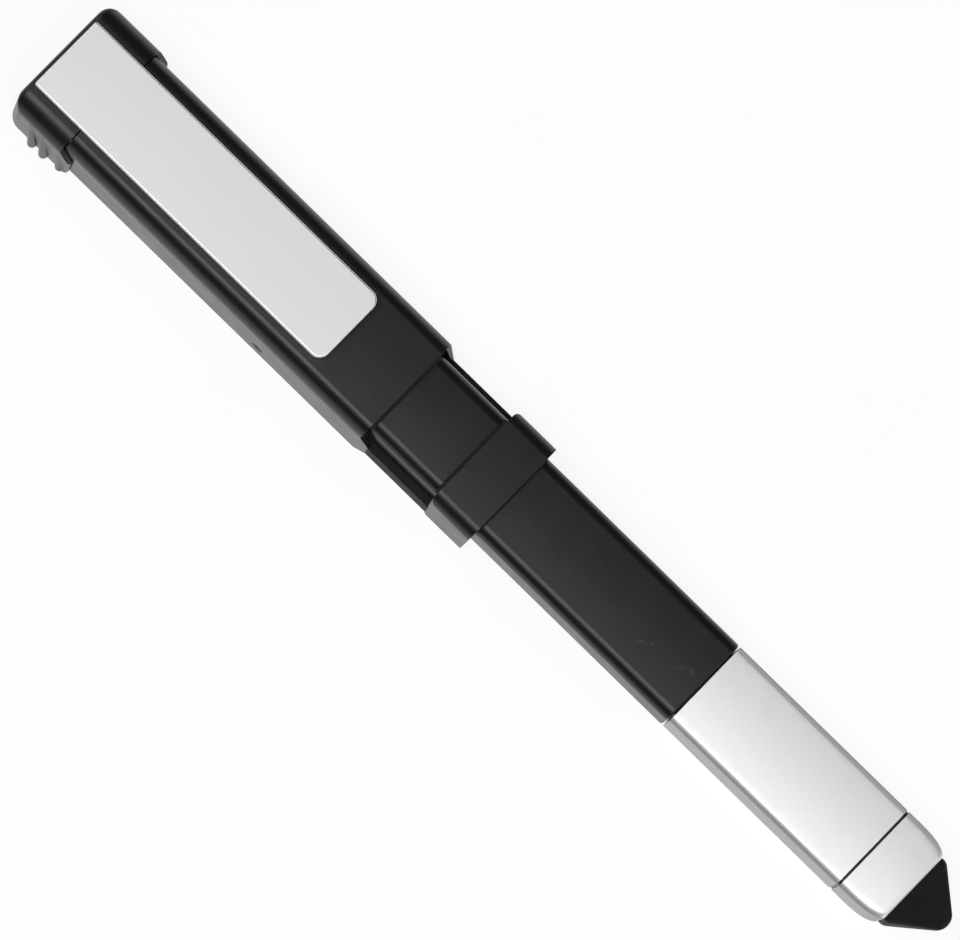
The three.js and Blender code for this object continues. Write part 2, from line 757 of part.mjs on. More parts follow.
// Comb spring: one finger over each tool's tang, riveted to the barrel's tang
function combSpringSolid() {
  const low = pivotZ + toolTang + flatGap;
  const fingerStart = pivotX - fingerEndGap;
  const restEnd = fingerStart + fingerRestLength;
  const root = tangStart - springThickness;
  const profile = polygon([
    [fingerStart, low],
    [restEnd, low],
    [root, barrelFront],
    [springEnd, barrelFront],
    [springEnd, barrelFront + springThickness],
    [root, barrelFront + springThickness],
    [restEnd, low + springThickness],
    [fingerStart, low + springThickness],
  ]);
  const half = frameInner - flatGap;
  const slots = Array.from({ length: toolCount + 1 }, (_, i) => {
    const left = i === 0 ? -half - 1 : toolCentre(i - 1) + fingerWidth / 2;
    const right = i === toolCount ? half + 1 : toolCentre(i) - fingerWidth / 2;
    return block(fingerStart - 1, root - springThickness, left, right, 0, sleeveHeight);
  });
  const holes = springRivetStations.map((x) => (
    barAlongZ(x, 0, springRivetRadius + pinGap, 0, sleeveHeight)
  ));
  return [...slots, ...holes].reduce((solid, space) => solid.subtract(space), alongY(profile, -half, half));
}

function springRivetSolid(x) {
  const seat = barrelFront + springThickness;
  return barAlongZ(x, 0, springRivetRadius, barrelFront - springRivetDepth, seat)
    .add(barAlongZ(x, 0, springRivetHead, seat, seat + springRivetHeadHeight));
}

// Middle of a tool's slot across the pen
function toolCentre(i) {
  return -frameInner + toolGap + toolThickness / 2 + i * toolPitch;
}

// A tool's side view about its pivot, folded along +x: points run from the spine's far end back to the tang
function toolOutline(points) {
  const shape = new THREE.Shape();
  shape.moveTo(0, -toolTang);
  points.forEach(([x, z]) => shape.lineTo(x, z));
  shape.absarc(0, 0, toolTang, tangJoinAngle, 1.5 * Math.PI);
  return shape;
}

// The blank cut from sheet, with its pivot hole and a nail notch in its spine
function toolBlank(points, order) {
  const half = toolThickness / 2;
  const notchX = toolReach - notchSetback - order * notchStep;
  return alongY(toolOutline(points), -half, half)
    .subtract(barAlongY(0, 0, pivotRadius + pinGap, -half - 1, half + 1))
    .subtract(barAlongY(notchX, -toolTang - notchRadius / 3, notchRadius, -half - 1, half + 1));
}

// Thins a blank on both faces towards the level of its edge
function beveled(blank, from, edge, height) {
  const half = toolThickness / 2;
  const thin = edgeThickness / 2;
  const wedge = [
    [half, edge - height],
    [half + 1, edge - height],
    [half + 1, edge + 1],
    [thin, edge + 1],
    [thin, edge],
  ];
  const flipped = wedge.map(([y, z]) => [-y, z]).reverse();
  return blank
    .subtract(alongX(polygon(wedge), from, toolReach + 1))
    .subtract(alongX(polygon(flipped), from, toolReach + 1));
}

function knifeSolid(order) {
  const spine = -toolTang;
  const edge = toolTang - edgeInset;
  const bellyStart = toolReach - knifeBelly;
  const blank = toolBlank([
    [toolReach - knifePoint, spine],
    [toolReach - knifePoint / 2, spine + knifePointDrop / 5],
    [toolReach, spine + knifePointDrop],
    [toolReach - knifeBelly / 4, edge - knifeBellyRise],
    [toolReach - knifeBelly / 2, edge - knifeBellyRise / 2],
    [bellyStart, edge],
    [choilStart + choilWidth + choilDepth / 3, edge],
    [choilStart + choilWidth, edge - choilDepth],
    [choilStart, edge - choilDepth],
    [shoulderX, edge - edgeShoulder],
  ], order);
  return beveled(blank, choilStart + choilWidth, edge, knifeBevel);
}

function sawSolid(order) {
  const edge = toolTang - edgeInset;
  const root = edge - sawToothDepth;
  const teeth = Math.floor((toolReach - sawEndCorner - sawFirstTooth) / sawToothPitch);
  const saw = [];
  for (let i = teeth; i > 0; i--) {
    const x = sawFirstTooth + i * sawToothPitch;
    saw.push([x, edge]);
    saw.push([x - sawToothPitch * sawToothLean, root]);
  }
  return toolBlank([
    [toolReach - sawEndCorner, -toolTang],
    [toolReach, -toolTang + sawEndCorner],
    [toolReach - sawEndCorner / 2, root],
    ...saw,
    [sawFirstTooth - sawToothPitch, root],
    [shoulderX, edge - edgeShoulder],
  ], order);
}

// Flat-bodied cross driver: a straight shank along the spine with a stepped point
function crossDriverSolid(order) {
  const low = -toolTang;
  const high = low + driverHeight;
  const middle = (low + high) / 2;
  const neckStart = toolReach - driverNeckLength;
  const pointStart = toolReach - driverPointLength;
  return toolBlank([
    [neckStart, low],
    [neckStart + driverStepLength, middle - driverNeckHalf],
    [pointStart, middle - driverNeckHalf],
    [toolReach, middle - driverPointHalf],
    [toolReach, middle + driverPointHalf],
    [pointStart, middle + driverNeckHalf],
    [neckStart + driverStepLength, middle + driverNeckHalf],
    [neckStart, high],
    [driverShankStart, high],
    [shoulderX, toolTang - driverShoulderDrop],
  ], order);
}

// Cap lifter with a hook in its edge and a flat driver ground at its end
function capLifterSolid(order) {
  const high = toolTang - lifterInset;
  const noseX = toolReach - lifterNose;
  const hookEnd = noseX - lifterNoseSlope;
  const hookStart = noseX - lifterHookWidth;
  const blank = toolBlank([
    [toolReach, -toolTang],
    [toolReach, -toolTang + lifterTipHeight],
    [noseX + lifterNoseSlope, high - lifterHookLip / 2],
    [noseX, high],
    [hookEnd + lifterHookLip / 4, high],
    [hookEnd, high - lifterHookLip],
    [(hookEnd + hookStart) / 2, high - lifterHookDepth],
    [hookStart + lifterHookLip / 2, high - lifterHookDepth],
    [hookStart, high],
    [shoulderX, high],
  ], order);
  const half = toolThickness / 2;
  const grind = [
    [toolReach - lifterGrindLength, half],
    [toolReach, lifterTipHalf],
    [toolReach + 1, lifterTipHalf],
    [toolReach + 1, half + 1],
    [toolReach - lifterGrindLength, half + 1],
  ];
  const under = grind.map(([x, y]) => [x, -y]).reverse();
  return blank
    .subtract(alongZ(polygon(grind), -toolTang - 1, toolTang + 1))
    .subtract(alongZ(polygon(under), -toolTang - 1, toolTang + 1));
}

function nailFileSolid(order) {
  const low = -toolTang;
  const high = toolTang - fileInset;
  const pointZ = low + filePointDrop;
  const blank = toolBlank([
    [toolReach - filePoint, low],
    [toolReach - filePointHeight / 3, pointZ],
    [toolReach, pointZ + filePointHeight / 2],
    [toolReach - filePointHeight / 3, pointZ + filePointHeight],
    [toolReach - filePoint / 2, high],
    [fileStart, high],
    [shoulderX, toolTang - edgeInset - edgeShoulder],
  ], order);
  return beveled(blank, fileStart, high, fileBevel);
}

function washerSolid(order) {
  const y = -frameInner + flatGap + order * toolPitch;
  const end = y + toolGap - 2 * flatGap;
  return barAlongY(pivotX, pivotZ, washerRadius, y, end)
    .subtract(barAlongY(pivotX, pivotZ, pivotRadius + pinGap, y - 1, end + 1));
}

// Pocket clip: a flat plate with a rounded rib under its free end
function clipSolid() {
  const half = clipWidth / 2;
  const end = clipSetback + clipLength;
  const plan = new THREE.Shape();
  plan.moveTo(clipSetback, half);
  plan.lineTo(clipSetback, -half);
  plan.absarc(end - clipEndRadius, clipEndRadius - half, clipEndRadius, -Math.PI / 2, 0);
  plan.absarc(end - clipEndRadius, half - clipEndRadius, clipEndRadius, 0, Math.PI / 2);
  const plate = new THREE.ExtrudeGeometry(plan, {
    depth: clipThickness - 2 * clipEdgeBevel,
    bevelThickness: clipEdgeBevel,
    bevelSize: clipEdgeBevel,
    bevelOffset: -clipEdgeBevel,
    bevelSegments: 1,
    curveSegments: arcSteps,
  });
  const bumpZ = sleeveHeight + clipBumpGap + clipBumpRadius;
  const bumpHalf = half - clipBumpInset;
  return solidOf(plate.translate(0, 0, clipBottom + clipEdgeBevel))
    .add(barAlongY(end - clipBumpSetback, bumpZ, clipBumpRadius, -bumpHalf, bumpHalf));
}

// Hairpin spring: a folded strip between the cap and the clip
function hairpinSolid() {
  const top = clipBottom - hairpinSlack;
  const outer = (top - capHeight) / 2;
  const inner = outer - hairpinLeaf;
  const bendX = hairpinSetback + outer;
  const bendZ = capHeight + outer;
  const end = hairpinSetback + hairpinLength;
  const profile = new THREE.Shape();
  profile.moveTo(end, capHeight + hairpinLeaf);
  profile.lineTo(end, capHeight);
  profile.absarc(bendX, bendZ, outer, -Math.PI / 2, Math.PI / 2, true);
  profile.lineTo(end, top);
  profile.lineTo(end, top - hairpinLeaf);
  profile.absarc(bendX, bendZ, inner, Math.PI / 2, -Math.PI / 2, false);
  return clipRivetStations.reduce(
    (solid, x) => solid.subtract(barAlongZ(x, 0, clipRivetRadius + pinGap, capHeight - 1, bendZ)),
    alongY(profile, -hairpinWidth / 2, hairpinWidth / 2),
  );
}

function clipRivetSolid(x) {
  const seat = capHeight + hairpinLeaf;
  const foot = capCeiling - clipRivetHeadHeight;
  return barAlongZ(x, 0, clipRivetRadius, foot, seat)
    .add(barAlongZ(x, 0, clipRivetHead, seat, seat + clipRivetHeadHeight))
    .add(barAlongZ(x, 0, clipRivetHead, foot, capCeiling));
}

// Finishes: colour, roughness, metalness
const blackPlastic = [0x262627, 0.5, 0];
const darkPlastic = [0x1a1a1b, 0.6, 0];
const darkFrame = [0x3a3a3c, 0.45, 0.6];
const satinSteel = [0xd8d8d9, 0.35, 1];
const silverCoat = [0xcfd0d2, 0.42, 0.85];
const toolSteel = [0xb9bbbe, 0.3, 1];
const brass = [0xb8975a, 0.35, 1];
const clearPlastic = [0xd9dde0, 0.3, 0];
const inkBlue = [0x1c2a6b, 0.4, 0];
const softRubber = [0x1f1f20, 0.85, 0];

const pen = new THREE.Group();
pen.position.x = -penLength / 2;

function addPiece(name, solid, [color, roughness, metalness], position = [0, 0, 0]) {
  const material = new THREE.MeshStandardMaterial({ color, roughness, metalness });
  const mesh = new THREE.Mesh(geometryOf(solid), material);
  mesh.name = name;
  mesh.position.set(...position);
  pen.add(mesh);
}

addPiece('cap', capSolid(), blackPlastic);
addPiece('sleeve', sleeveSolid(), blackPlastic);
addPiece('collar', collarSolid(), blackPlastic);
addPiece('frame_left', frameSolid(1), darkFrame);
addPiece('frame_right', frameSolid(-1), darkFrame);
addPiece('barrel', barrelSolid(), blackPlastic);
addPiece('tool_pin', toolPinSolid(), toolSteel);
addPiece('tang_pin', crossPinSolid(tangPinX, tangPinZ, sleeveWidth / 2), darkFrame);
addPiece('collar_pin', crossPinSolid(collarPinX, collarPinZ, frameOuter), darkFrame);

const toolMakers = {
  knife_blade: knifeSolid,
  saw_blade: sawSolid,
  cross_driver: crossDriverSolid,
  cap_lifter: capLifterSolid,
  nail_file: nailFileSolid,
};
Object.entries(toolMakers).forEach(([name, make], i) => {
  addPiece(name, make(i), toolSteel, [pivotX, toolCentre(i), pivotZ]);
});
for (let i = 0; i <= toolCount; i++) addPiece(`tool_washer_${i + 1}`, washerSolid(i), brass);
addPiece('comb_spring', combSpringSolid(), toolSteel);
springRivetStations.forEach((x, i) => addPiece(`spring_rivet_${i + 1}`, springRivetSolid(x), toolSteel));

addPiece('clip', clipSolid(), satinSteel);
addPiece('clip_spring', hairpinSolid(), toolSteel);
clipRivetStations.forEach((x, i) => addPiece(`clip_rivet_${i + 1}`, clipRivetSolid(x), toolSteel));

addPiece('refill_holder', refillHolderSolid(), darkPlastic);
addPiece('refill_tube', refillTubeSolid(), clearPlastic);
addPiece('refill_ink', inkSolid(), inkBlue);
addPiece('refill_point', refillPointSolid(), brass);
addPiece('grip', gripSolid(), silverCoat);
addPiece('grip_insert', gripInsertSolid(), darkPlastic);
addPiece('nose_shell', noseShellSolid(), silverCoat);
addPiece('nose_bush', noseBushSolid(), darkPlastic);
addPiece('stylus_tip', stylusTipSolid(), softRubber);

export default pen;
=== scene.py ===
# Looks of a multi-tool pen: a ribbed black handle with a steel clip and five folding tools, a black barrel,
# and a silver grip and nose with a rubber stylus tip. Sizes are in metres. X runs from the cap to the tip.
# Each section makes one piece, or a group of like pieces, in the order in which the pen goes together.
import math
import bpy
from mathutils import Matrix, Vector


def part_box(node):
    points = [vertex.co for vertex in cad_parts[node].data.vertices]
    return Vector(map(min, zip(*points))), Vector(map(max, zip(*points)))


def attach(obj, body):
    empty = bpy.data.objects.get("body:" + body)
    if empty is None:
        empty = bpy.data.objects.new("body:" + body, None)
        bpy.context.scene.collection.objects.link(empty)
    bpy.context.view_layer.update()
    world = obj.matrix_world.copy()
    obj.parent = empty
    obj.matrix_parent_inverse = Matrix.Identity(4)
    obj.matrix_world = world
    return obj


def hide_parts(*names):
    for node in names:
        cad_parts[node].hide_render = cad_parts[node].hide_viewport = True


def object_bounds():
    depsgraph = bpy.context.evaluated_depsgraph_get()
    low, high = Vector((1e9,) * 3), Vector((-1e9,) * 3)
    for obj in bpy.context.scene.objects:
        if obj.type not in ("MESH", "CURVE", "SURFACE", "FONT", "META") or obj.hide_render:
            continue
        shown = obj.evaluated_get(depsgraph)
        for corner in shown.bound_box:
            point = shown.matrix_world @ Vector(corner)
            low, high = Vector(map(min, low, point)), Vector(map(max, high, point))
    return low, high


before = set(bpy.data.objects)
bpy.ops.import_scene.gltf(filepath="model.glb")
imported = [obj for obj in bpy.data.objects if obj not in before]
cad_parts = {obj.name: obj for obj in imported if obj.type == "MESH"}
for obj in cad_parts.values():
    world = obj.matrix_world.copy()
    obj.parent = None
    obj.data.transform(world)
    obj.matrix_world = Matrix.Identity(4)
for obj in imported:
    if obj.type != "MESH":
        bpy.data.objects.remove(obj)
cad_low, cad_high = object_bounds()


# The barrel is the pen's backbone: a moulded bar of black ABS, rounded along its four edges.
# Its tang runs back between the side frames, and its slimmer spigot carries the grip.
# It is bored from the spigot's end for the ballpoint refill.
mm = 0.001
slack = 0.01 * mm


def take(piece):
    """Makes a piece the active one and the only one selected."""
    bpy.ops.object.select_all(action="DESELECT")
    piece.select_set(True)
    bpy.context.view_layer.objects.active = piece
    return piece


def block(name, low, high):
    """A cube brought to its lowest and highest corners."""
    bpy.ops.object.select_all(action="DESELECT")
    middle = [(a + b) / 2 for a, b in zip(low, high)]
    bpy.ops.mesh.primitive_cube_add(size=1, location=middle)
    piece = bpy.context.object
    piece.scale = [b - a for a, b in zip(low, high)]
    bpy.ops.object.transform_apply(location=True, rotation=True, scale=True)
    piece.name = piece.data.name = name
    return piece


def rod(name, start, end, radius, sides=32):
    """A cylinder from one point to another."""
    bpy.ops.object.select_all(action="DESELECT")
    axis = Vector(end) - Vector(start)
    bpy.ops.mesh.primitive_cylinder_add(vertices=sides, radius=radius, depth=axis.length)
    piece = bpy.context.object
    piece.matrix_world = Matrix.Translation((Vector(start) + Vector(end)) / 2) @ (
        axis.to_track_quat("Z", "Y").to_matrix().to_4x4())
    bpy.ops.object.transform_apply(location=True, rotation=True, scale=True)
    piece.name = piece.data.name = name
    return piece


def pick(piece, kind, test):
    """Opens a piece in edit mode with only those verts, edges or faces selected that pass the test."""
    take(piece)
    bpy.ops.object.mode_set(mode="EDIT")
    bpy.ops.mesh.select_mode(type=kind)
    bpy.ops.mesh.select_all(action="DESELECT")
    bpy.ops.object.mode_set(mode="OBJECT")
    points = piece.data.vertices
    if kind == "VERT":
        for point in points:
            point.select = bool(test(point.co))
    elif kind == "EDGE":
        for edge in piece.data.edges:
            edge.select = bool(test(points[edge.vertices[0]].co, points[edge.vertices[1]].co))
    else:
        for face in piece.data.polygons:
            face.select = bool(test(face.center, face.normal))
    bpy.ops.object.mode_set(mode="EDIT")


def close(piece):
    """Leaves edit mode."""
    bpy.ops.object.mode_set(mode="OBJECT")
    return piece


def round_off(piece, radius, steps, test):
    """Rounds the edges that pass the test."""
    pick(piece, "EDGE", test)
    bpy.ops.mesh.bevel(offset=radius, segments=steps, profile=0.5, affect="EDGES", clamp_overlap=False)
    return close(piece)


def combine(piece, operation, others):
    """Combines a piece with other solids, one after another, and removes them."""
    for other in others:
        take(piece)
        joint = piece.modifiers.new("joint", "BOOLEAN")
        joint.operation, joint.solver, joint.object = operation, "EXACT", other
        bpy.ops.object.modifier_apply(modifier=joint.name)
        bpy.data.objects.remove(other)
    return piece


def carve(piece, *cutters):
    """Cuts other solids out of a piece."""
    return combine(piece, "DIFFERENCE", cutters)


def weld(piece, *others):
    """Makes other solids one with a piece."""
    return combine(piece, "UNION", others)


def crown(piece, half, top, drop, strips=8):
    """Arches a front face: cuts it into strips and lets them down towards its sides."""
    for i in range(1, strips):
        pick(piece, "FACE", lambda centre, normal: normal.z > 0.9)
        bpy.ops.mesh.bisect(plane_co=(0, half * (2 * i / strips - 1), 0), plane_no=(0, 1, 0))
        close(piece)
    for i in range(strips + 1):
        y = half * (2 * i / strips - 1)
        pick(piece, "VERT", lambda point: point.z > top - slack and abs(point.y - y) < slack)
        bpy.ops.transform.translate(value=(0, 0, -drop * (y / half) ** 2))
        close(piece)
    return piece


def smooth(piece):
    """Shades a piece smooth across its rounds and flat across its flats."""
    take(piece)
    bpy.ops.object.shade_smooth_by_angle(angle=math.radians(40))
    weights = piece.modifiers.new("weights", "WEIGHTED_NORMAL")
    weights.keep_sharp, weights.weight = True, 100
    bpy.ops.object.modifier_apply(modifier=weights.name)
    return piece


def along_x(a, b):
    """Whether an edge runs along the pen."""
    return abs(a.x - b.x) > 0.1 * mm and abs(a.y - b.y) < slack and abs(a.z - b.z) < slack


def at_x(x):
    """A test for the edges that lie in one plane across the pen."""
    return lambda a, b: abs(a.x - x) < slack and abs(b.x - x) < slack


def along_corner(half):
    """A test for the edges that run along a bar's corners, a given distance from the pen's middle."""
    return lambda a, b: along_x(a, b) and abs(a.y) > half - slack


def finish(name, **sockets):
    """A material with its constant numbers and colours set on the shader itself."""
    material = bpy.data.materials.new(name)
    material.use_nodes = True
    shader = material.node_tree.nodes["Principled BSDF"]
    for socket, value in sockets.items():
        shader.inputs[socket.replace("_", " ")].default_value = value
    return material


def node(material, kind, inputs, **settings):
    """A node whose inputs are numbers, colours or other nodes' outputs."""
    made = material.node_tree.nodes.new("ShaderNode" + kind)
    for setting, value in settings.items():
        setattr(made, setting, value)
    for socket, value in inputs.items():
        if isinstance(value, bpy.types.NodeSocket):
            material.node_tree.links.new(value, made.inputs[socket])
        else:
            made.inputs[socket].default_value = value
    return made


def feed(material, **outputs):
    """Leads nodes' outputs to the shader."""
    shader = material.node_tree.nodes["Principled BSDF"]
    for socket, output in outputs.items():
        material.node_tree.links.new(output, shader.inputs[socket.replace("_", " ")])


def noise(material, scale, detail, stretch=(1, 1, 1)):
    """Noise on the piece's own coordinates, scale in grains per metre."""
    place = node(material, "TexCoord", {}).outputs["Object"]
    if stretch != (1, 1, 1):
        place = node(material, "Mapping", {"Vector": place, "Scale": stretch}).outputs["Vector"]
    return node(material, "TexNoise", {"Vector": place, "Scale": scale, "Detail": detail}).outputs["Fac"]


def span(material, value, low, high, from_low=0.3, from_high=0.7):
    """Spreads a value between two others."""
    made = node(material, "MapRange", {
        "Value": value, "From Min": from_low, "From Max": from_high, "To Min": low, "To Max": high})
    return made.outputs["Result"]


def blend_colours(material, share, first, second):
    """Goes from the first colour to the second as the share goes from 0 to 1."""
    return node(material, "Mix", {0: share, 6: first, 7: second}, data_type="RGBA").outputs[2]


def mottle(material, value, first, second):
    """Wanders between two colours as a noise does."""
    return blend_colours(material, span(material, value, 0, 1), first, second)


def relief(material, height, distance, strength):
    """A bump from a height."""
    made = node(material, "Bump", {"Height": height, "Distance": distance, "Strength": strength})
    return made.outputs["Normal"]


def moulded_black(name):
    """Black ABS with a spark-eroded mould's fine grain, cloudy where hands polished it, and a few specks."""
    plastic = finish(name, Metallic=0.0, IOR=1.5, Specular_IOR_Level=0.5)
    clean = (0.0030, 0.0030, 0.0031, 1)
    worn = (0.0050, 0.0050, 0.0051, 1)
    dusty = (0.035, 0.034, 0.033, 1)
    clouds = noise(plastic, 260, 3)
    specks = node(plastic, "TexVoronoi", {
        "Vector": node(plastic, "TexCoord", {}).outputs["Object"], "Scale": 1500.0, "Randomness": 1.0})
    lint = span(plastic, specks.outputs["Distance"], 1.0, 0.0, 0.035, 0.06)
    sparse = span(plastic, noise(plastic, 700, 1), 0.0, 0.8, 0.62, 0.7)
    dust = node(plastic, "Math", {0: lint, 1: sparse}, operation="MULTIPLY").outputs[0]
    feed(plastic,
         Base_Color=blend_colours(plastic, dust, mottle(plastic, clouds, clean, worn), dusty),
         Roughness=span(plastic, clouds, 0.39, 0.34),
         Normal=relief(plastic, noise(plastic, 7000, 2), 0.00002, 0.5))
    return plastic


def rub(material, place, angle, size):
    """A short rubbed mark on a piece's front face, broken up by noise: 1 inside the mark and 0 outside."""
    own = node(material, "TexCoord", {}).outputs["Object"]
    seen = node(material, "Mapping", {
        "Vector": own, "Location": place, "Rotation": (0, 0, angle), "Scale": size},
        vector_type="TEXTURE").outputs["Vector"]
    flat = node(material, "VectorMath", {0: seen, 1: (1, 1, 0)}, operation="MULTIPLY").outputs["Vector"]
    reach = node(material, "VectorMath", {0: flat}, operation="LENGTH").outputs["Value"]
    fading = span(material, reach, 1.0, 0.0, 0.15, 1.0)
    broken = span(material, noise(material, 2600, 3), 0.35, 1.0)
    return node(material, "Math", {0: fading, 1: broken}, operation="MULTIPLY").outputs[0]


barrel_low, barrel_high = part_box("barrel")
sleeve_low, sleeve_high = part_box("sleeve")
collar_low, collar_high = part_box("collar")
grip_low, grip_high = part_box("grip")
pen_axis = (barrel_low.z + barrel_high.z) / 2
face_crown = 0.16 * mm
barrel_radius = 1.5 * mm
tang_end_radius = 0.16 * mm
shoulder_x = grip_low.x - 0.2 * mm
shoulder_radius = 0.35 * mm
grip_wall = 1 * mm
spigot_play = 0.1 * mm
spigot_half_y = grip_high.y - grip_wall - spigot_play
spigot_half_z = (grip_high.z - grip_low.z) / 2 - grip_wall - spigot_play
spigot_radius = 0.6 * mm
spigot_end_radius = 0.3 * mm
bore_radius = 2 * mm
tongue_reach = 1.5 * mm
sleeve_end = sleeve_high.x - tongue_reach
groove_width = 0.4 * mm
fine_groove_width = 0.22 * mm
groove_floor = barrel_high.z - face_crown - 0.7 * mm
groove_half = 8 * mm

barrel = block("barrel_body", barrel_low, (shoulder_x, barrel_high.y, barrel_high.z))
crown(barrel, barrel_high.y, barrel_high.z, face_crown)
round_off(barrel, barrel_radius, 10, along_corner(barrel_high.y))
round_off(barrel, tang_end_radius, 3, at_x(barrel_low.x))
round_off(barrel, shoulder_radius, 4, at_x(shoulder_x))
spigot = block("spigot", (shoulder_x - mm, -spigot_half_y, pen_axis - spigot_half_z),
               (barrel_high.x, spigot_half_y, pen_axis + spigot_half_z))
round_off(spigot, spigot_radius, 5, along_x)
round_off(spigot, spigot_end_radius, 2, at_x(barrel_high.x))
weld(barrel, spigot)
carve(barrel, rod("bore", (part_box("refill_holder")[0].x, 0, pen_axis), (barrel_high.x + mm, 0, pen_axis),
                  bore_radius))
for groove_x, width in ((sleeve_end, groove_width), (collar_low.x - groove_width, groove_width),
                        (collar_high.x, fine_groove_width)):
    carve(barrel, block("groove", (groove_x, -groove_half, groove_floor),
                        (groove_x + width, groove_half, barrel_high.z + mm)))
smooth(barrel)

barrel_black = moulded_black("barrel_black")
plastic_colour = barrel_black.node_tree.nodes["Principled BSDF"].inputs["Base Color"].links[0].from_socket
scuffed = (0.040, 0.039, 0.038, 1)
for station, y, angle, length, width in ((99.4, -1.9, 0.75, 0.65, 0.28), (100.6, -1.2, 0.8, 0.8, 0.2),
                                         (105.2, -0.7, 0.6, 1.0, 0.2), (106.4, -0.2, -0.2, 0.9, 0.35)):
    mark = rub(barrel_black, (cad_low.x + station * mm, y * mm, 0), angle, (length * mm, width * mm, mm))
    plastic_colour = blend_colours(barrel_black, mark, plastic_colour, scuffed)
feed(barrel_black, Base_Color=plastic_colour)
barrel.data.materials.append(barrel_black)
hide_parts("barrel")
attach(barrel, "handle")


# Two side frames of black-coated steel carry the tools: each is a stamped plate between them and the sleeve,
# thicker where it shows as a rail beside the window. A cross pin at the collar ties them to the barrel.
plate_thickness = 0.55 * mm
plate_end_radius = 2.4 * mm
plate_edge_radius = 0.14 * mm
plate_foot = 0.7 * mm
rail_top = 5.05 * mm
rail_gap = 0.01 * mm
lip_length = 1.4 * mm
collar_corner = 0.9 * mm


def ease(piece, width, steps=2, where=None):
    """Breaks a piece's sharp edges by a small round, as a mould or a tumbling drum does."""
    pick(piece, "EDGE", lambda a, b: False)
    bpy.ops.mesh.edges_select_sharp(sharpness=math.radians(32))
    if where:
        bpy.ops.object.mode_set(mode="OBJECT")
        points = piece.data.vertices
        for edge in piece.data.edges:
            if edge.select and not where(points[edge.vertices[0]].co, points[edge.vertices[1]].co):
                edge.select = False
        bpy.ops.object.mode_set(mode="EDIT")
    bpy.ops.mesh.bevel(offset=width, segments=steps, profile=0.5, affect="EDGES", clamp_overlap=True)
    return close(piece)


def across(side, inner, outer):
    """The lowest and highest Y of what lies between two distances from the pen's middle, on one side."""
    return sorted((side * inner, side * outer))


blackened_steel = finish("blackened_steel", Metallic=0.0, IOR=1.35, Specular_IOR_Level=0.3)
rolling = noise(blackened_steel, 500, 4, (0.12, 1, 1))
feed(blackened_steel,
     Base_Color=mottle(blackened_steel, rolling, (0.013, 0.013, 0.0132, 1), (0.021, 0.021, 0.0208, 1)),
     Roughness=span(blackened_steel, noise(blackened_steel, 900, 3), 0.62, 0.75),
     Normal=relief(blackened_steel, noise(blackened_steel, 5200, 2, (0.3, 1, 1)), 0.00001, 0.5))

for side, name in ((1, "frame_left"), (-1, "frame_right")):
    low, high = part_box(name)
    inner = min(abs(low.y), abs(high.y))
    outer = max(abs(low.y), abs(high.y))
    y0, y1 = across(side, inner, inner + plate_thickness)
    plate = block(name + "_plate", (low.x, y0, low.z), (high.x, y1, high.z))
    round_off(plate, plate_end_radius, 10, lambda a, b: at_x(low.x)(a, b) and abs(a.z - b.z) < slack)
    carve(plate,
          block("step", (sleeve_end - lip_length, y0 - mm, rail_top), (high.x + mm, y1 + mm, high.z + mm)),
          block("foot", (collar_low.x, y0 - mm, low.z - mm), (high.x + mm, y1 + mm, low.z + plate_foot)))
    y0, y1 = across(side, barrel_high.y + rail_gap, outer)
    weld(plate, block("rail", (sleeve_high.x, y0, low.z), (collar_low.x + collar_corner, y1, rail_top)))
    ease(plate, plate_edge_radius, 3, lambda a, b: along_x(a, b) or max(a.x, b.x) < sleeve_end)
    smooth(plate)
    plate.data.materials.append(blackened_steel)
    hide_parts(name)
    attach(plate, "handle")


# The five tools are hardened stainless, ground across their width and then tumbled bright.
# Each is stamped from 1.8 mm sheet and swings out of the open back on the one pin through the cap.
tool_edge_radius = 0.07 * mm

ground_steel = finish("ground_steel", Metallic=1.0)
grind = noise(ground_steel, 2600, 3, (1, 1, 0.05))
feed(ground_steel,
     Base_Color=mottle(ground_steel, noise(ground_steel, 170, 3),
                       (0.44, 0.445, 0.45, 1), (0.56, 0.56, 0.555, 1)),
     Roughness=span(ground_steel, grind, 0.22, 0.36),
     Normal=relief(ground_steel, grind, 0.00001, 0.5))


def ease_copy(node_name, piece_name, width):
    """A copy of a stamped or cut CAD piece, its facets merged and its edges broken."""
    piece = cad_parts[node_name].copy()
    piece.data = piece.data.copy()
    piece.animation_data_clear()
    for key in list(piece.keys()):
        del piece[key]
    piece.parent = None
    bpy.context.scene.collection.objects.link(piece)
    piece.name = piece.data.name = piece_name
    piece.data.materials.clear()
    take(piece)
    bpy.ops.object.mode_set(mode="EDIT")
    bpy.ops.mesh.select_all(action="SELECT")
    bpy.ops.mesh.remove_doubles(threshold=0.002 * mm)
    bpy.ops.mesh.dissolve_limited(angle_limit=math.radians(1))
    bpy.ops.object.mode_set(mode="OBJECT")
    ease(piece, width)
    return smooth(piece)


for node_name, body in (("knife_blade", "knife"), ("saw_blade", "saw"), ("cross_driver", "driver"),
                        ("cap_lifter", "lifter"), ("nail_file", "file")):
    tool = ease_copy(node_name, node_name + "_ground", tool_edge_radius)
    tool.data.materials.append(ground_steel)
    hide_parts(node_name)
    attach(tool, body)


# Turned pins and rivets, the comb spring that holds the tools and the hairpin spring under the clip
# are plain bright steel, left as they come from the lathe or the press. Two pins are black like the frames.
def coat(material, *names):
    """Gives a material to solids that are shown as they are."""
    for name in names:
        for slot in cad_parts[name].material_slots:
            slot.material = material


